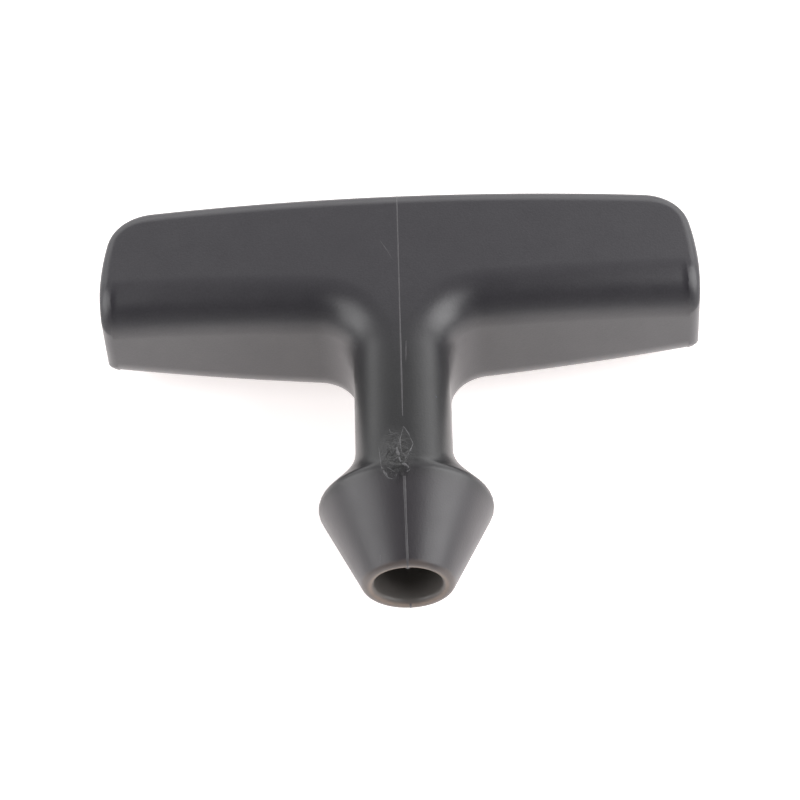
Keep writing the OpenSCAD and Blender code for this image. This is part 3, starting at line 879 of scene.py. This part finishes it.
# %% Torn lips of the gate scar
GATE_LIPS = [
    on_front(1.5, (-0.9, -14.8), (-0.6, -16.4), (-0.3, -17.5), (0.7, -18.1), (0.9, -18.6),
             (0.4, -18.8)),
    on_front(0.7, (0.2, -11.3), (0.9, -12.6), (1.5, -14.3), (1.0, -15.6), (0.3, -16.8)),
    on_front(0.55, (0.2, -11.3), (-0.4, -13.7), (-0.2, -15.6)),
    on_front(1.2, (-3.2, -17.7), (-2.7, -18.7), (-2.3, -19.4), (-1.6, -19.6)),
    on_front(0.4, (-3.5, -14.3), (-3.4, -15.4), (-3.2, -17.7)),
    on_front(0.9, (-2.3, -18.0), (-1.3, -18.7)),
    on_front(0.7, (-1.9, -11.6), (-1.7, -12.2)),
]
LIP_RADIUS = 0.24 * MM
LIP_SINK = 0.2 * MM
beads("gate_scar_lips", GATE_LIPS, LIP_RADIUS, LIP_SINK, whitened, 0.3)

# %% The flash ends in a small nib that hangs over the edge of the mouth
NIB = [(1.0, [Vector((LINE_X, TIP_Y + depth * MM, AXIS_Z + height * MM))
              for depth, height in ((0.2, 5.4), (0.5, 5.1), (1.1, 5.0))])]
NIB_RADIUS = 0.4 * MM
beads("parting_line_nib", NIB, NIB_RADIUS, 0.0, rubbed)

# %% Scratches and a bluish scuff
MARKS = [
    on_front(0.5, (0.9, 3.6), (0.85, 1.8), (0.8, 0.1)),
    on_front(0.3, (-2.6, 21.6), (-1.7, 20.0), (-0.8, 18.2)),
    on_front(0.8, (-3.8, -29.0), (-3.9, -29.9)),
]
SCRATCH_RADIUS = 0.25 * MM
SCRATCH_SINK = 0.2 * MM
beads("scratches", MARKS, SCRATCH_RADIUS, SCRATCH_SINK, rubbed)

HAZE = [on_front(1.0, (4.4, -4.2), (4.7, -4.8), (5.1, -5.4)),
        on_front(0.8, (4.7, -4.1), (5.0, -4.7))]
HAZE_RADIUS = 0.6 * MM
HAZE_SINK = 0.56 * MM
beads("bluish_scuff", HAZE, HAZE_RADIUS, HAZE_SINK, scuffed, 0.3)

# %% [markdown]
# ## The floor
# The handle lies on white paper. A large square is enough for that. Its material tells the rays
# apart: the camera and the reflections see paper that also shines a little, so it is white, and all
# other light meets plain paper, so the floor keeps the handle's shadow.

# %% Floor
FLOOR_SIZE = 3.0
floor_mesh = bpy.data.meshes.new("floor")
floor_mesh.from_pydata([(-FLOOR_SIZE, -FLOOR_SIZE, 0), (FLOOR_SIZE, -FLOOR_SIZE, 0),
                        (FLOOR_SIZE, FLOOR_SIZE, 0), (-FLOOR_SIZE, FLOOR_SIZE, 0)],
                       [], [(0, 1, 2, 3)])
floor = bpy.data.objects.new("floor", floor_mesh)
bpy.context.scene.collection.objects.link(floor)
print(f"floor: {2 * FLOOR_SIZE:.0f} m square")

# %% White paper
LIGHT_POOL = (35 * MM, 120 * MM)
POOL_STRENGTH = 1.2
CAMERA_STRENGTH = 0.7
paper = bpy.data.materials.new("white_paper_floor")
paper.use_nodes = True
tree = paper.node_tree
tree.nodes.clear()
rays = add(tree, "ShaderNodeLightPath", output=None).outputs
seen = add(tree, "ShaderNodeMath", {0: rays["Is Camera Ray"], 1: rays["Is Glossy Ray"]},
           operation="MAXIMUM")
# A painted pool of light: the paper's glow falls off with the distance from the handle
spot = add(tree, "ShaderNodeNewGeometry", output="Position")
away = add(tree, "ShaderNodeVectorMath", {0: spot}, output="Value", operation="LENGTH")
pool = add(tree, "ShaderNodeMapRange",
           {"Value": away, "From Min": LIGHT_POOL[0], "From Max": LIGHT_POOL[1],
            "To Min": POOL_STRENGTH, "To Max": 0.0}, interpolation_type="SMOOTHSTEP")
glow = add(tree, "ShaderNodeMix", {0: rays["Is Camera Ray"], 2: pool, 3: CAMERA_STRENGTH},
           data_type="FLOAT")
white = add(tree, "ShaderNodeEmission", {"Color": linear("fff7f5"), "Strength": glow})
matte = add(tree, "ShaderNodeBsdfDiffuse", {"Color": linear("f0f0f0")})
lit_matte = add(tree, "ShaderNodeAddShader", {0: white, 1: matte})
shader = add(tree, "ShaderNodeMixShader", {0: seen, 1: matte, 2: lit_matte})
add(tree, "ShaderNodeOutputMaterial", {"Surface": shader}, output=None)
floor_mesh.materials.append(paper)
print(f"{paper.name}: {len(tree.nodes)} nodes")

# %% [markdown]
# ## Lamps and room
# The photograph tells where its light came from. Highlights run down both sides of the nose and
# round the hollows, so there is a softbox on each side. The broad face and the back edge mirror a
# large pale wall, so one wide softbox stands behind. The roll under the fingers mirrors a dark
# band, so the world is darkest behind the camera. Where the photograph is lighter than that at the
# right end of the grip and on the front, the world has two lighter places.


# %% Lamps
def softbox(name, place, aim, width, height, radiance):
    """A rectangular lamp that shines with an even radiance towards a point."""
    data = bpy.data.lights.new(name, "AREA")
    data.shape = "RECTANGLE"
    data.size = width
    data.size_y = height
    data.energy = radiance * math.pi * width * height
    lamp = bpy.data.objects.new(name, data)
    direction = Vector(aim) - Vector(place)
    lamp.rotation_euler = direction.to_track_quat("-Z", "Y").to_euler()
    lamp.location = place
    bpy.context.scene.collection.objects.link(lamp)
    print(f"{name}: {data.energy:.1f} W")


softbox("back_wall", (0, 0.65, 0.335), (0, 0, 0), 2.3, 0.41, 1.38)
softbox("left_side", (-0.51, -0.08, 0.305), (0, 0, AXIS_Z), 0.44, 0.50, 3.0)
softbox("right_side", (0.49, -0.07, 0.325), (0, 0, AXIS_Z), 0.44, 0.52, 4.4)

# %% The room by direction
world = bpy.data.worlds.new("world")
bpy.context.scene.world = world
world.use_nodes = True
tree = world.node_tree
tree.nodes.clear()
direction = add(tree, "ShaderNodeTexCoord", output="Generated")
towards = add(tree, "ShaderNodeSeparateXYZ", {0: direction}, output=None).outputs
# The room is darkest behind the camera, and lighter again down by the table
BEHIND_CAMERA, BEHIND_GRIP = 0.07, 0.53
back_to_front = add(tree, "ShaderNodeMapRange",
                    {"Value": towards["Y"], "From Min": -0.25, "From Max": 0.34,
                     "To Min": BEHIND_CAMERA, "To Max": BEHIND_GRIP},
                    interpolation_type="SMOOTHSTEP")
low = add(tree, "ShaderNodeMapRange", {"Value": towards["Z"], "From Min": 0.0, "From Max": 0.65,
                                       "To Min": 0.5, "To Max": 0.0},
          interpolation_type="SMOOTHSTEP")
plain_room = add(tree, "ShaderNodeMath", {0: back_to_front, 1: low}, operation="ADD")
print(f"the room shines with {BEHIND_CAMERA} behind the camera, {BEHIND_GRIP} behind the grip")

# %% Two lighter places in the room
# High up behind the right end of the grip
rightward = add(tree, "ShaderNodeMapRange", {"Value": towards["X"], "From Min": 0.2,
                                             "From Max": 0.36, "To Max": 0.48},
                interpolation_type="SMOOTHSTEP")
behind = add(tree, "ShaderNodeMapRange", {"Value": towards["Y"], "From Min": 0.3, "From Max": 0.5},
             interpolation_type="SMOOTHSTEP")
lit_corner = add(tree, "ShaderNodeMath", {0: rightward, 1: behind, 2: plain_room},
                 operation="MULTIPLY_ADD")
# Overhead, on both sides of the middle
sideways = add(tree, "ShaderNodeMath", {0: towards["X"]}, operation="ABSOLUTE")
beside = add(tree, "ShaderNodeMapRange", {"Value": sideways, "From Min": 0.12, "From Max": 0.42,
                                          "To Max": 0.3}, interpolation_type="SMOOTHSTEP")
above = add(tree, "ShaderNodeMapRange", {"Value": towards["Z"], "From Min": 0.55, "From Max": 0.8},
            interpolation_type="SMOOTHSTEP")
forward = add(tree, "ShaderNodeMapRange", {"Value": towards["Y"], "From Max": 0.2, "To Min": 1.0,
                                           "To Max": 0.0}, interpolation_type="SMOOTHSTEP")
overhead = add(tree, "ShaderNodeMath", {0: above, 1: forward}, operation="MULTIPLY")
room = add(tree, "ShaderNodeMath", {0: beside, 1: overhead, 2: lit_corner},
           operation="MULTIPLY_ADD")
print(f"{len(tree.nodes)} nodes up to the room's light")

# %% The world is that room, and white to the camera
rays = add(tree, "ShaderNodeLightPath", output=None).outputs
dim = add(tree, "ShaderNodeBackground", {"Color": linear("ffffff"), "Strength": room})
bright = add(tree, "ShaderNodeBackground", {"Color": linear("ffffff"), "Strength": 1.0})
shader = add(tree, "ShaderNodeMixShader", {0: rays["Is Camera Ray"], 1: dim, 2: bright})
add(tree, "ShaderNodeOutputWorld", {"Surface": shader}, output=None)
print(f"{world.name}: {len(tree.nodes)} nodes")
bpy.context.scene.view_settings.view_transform = "Standard"
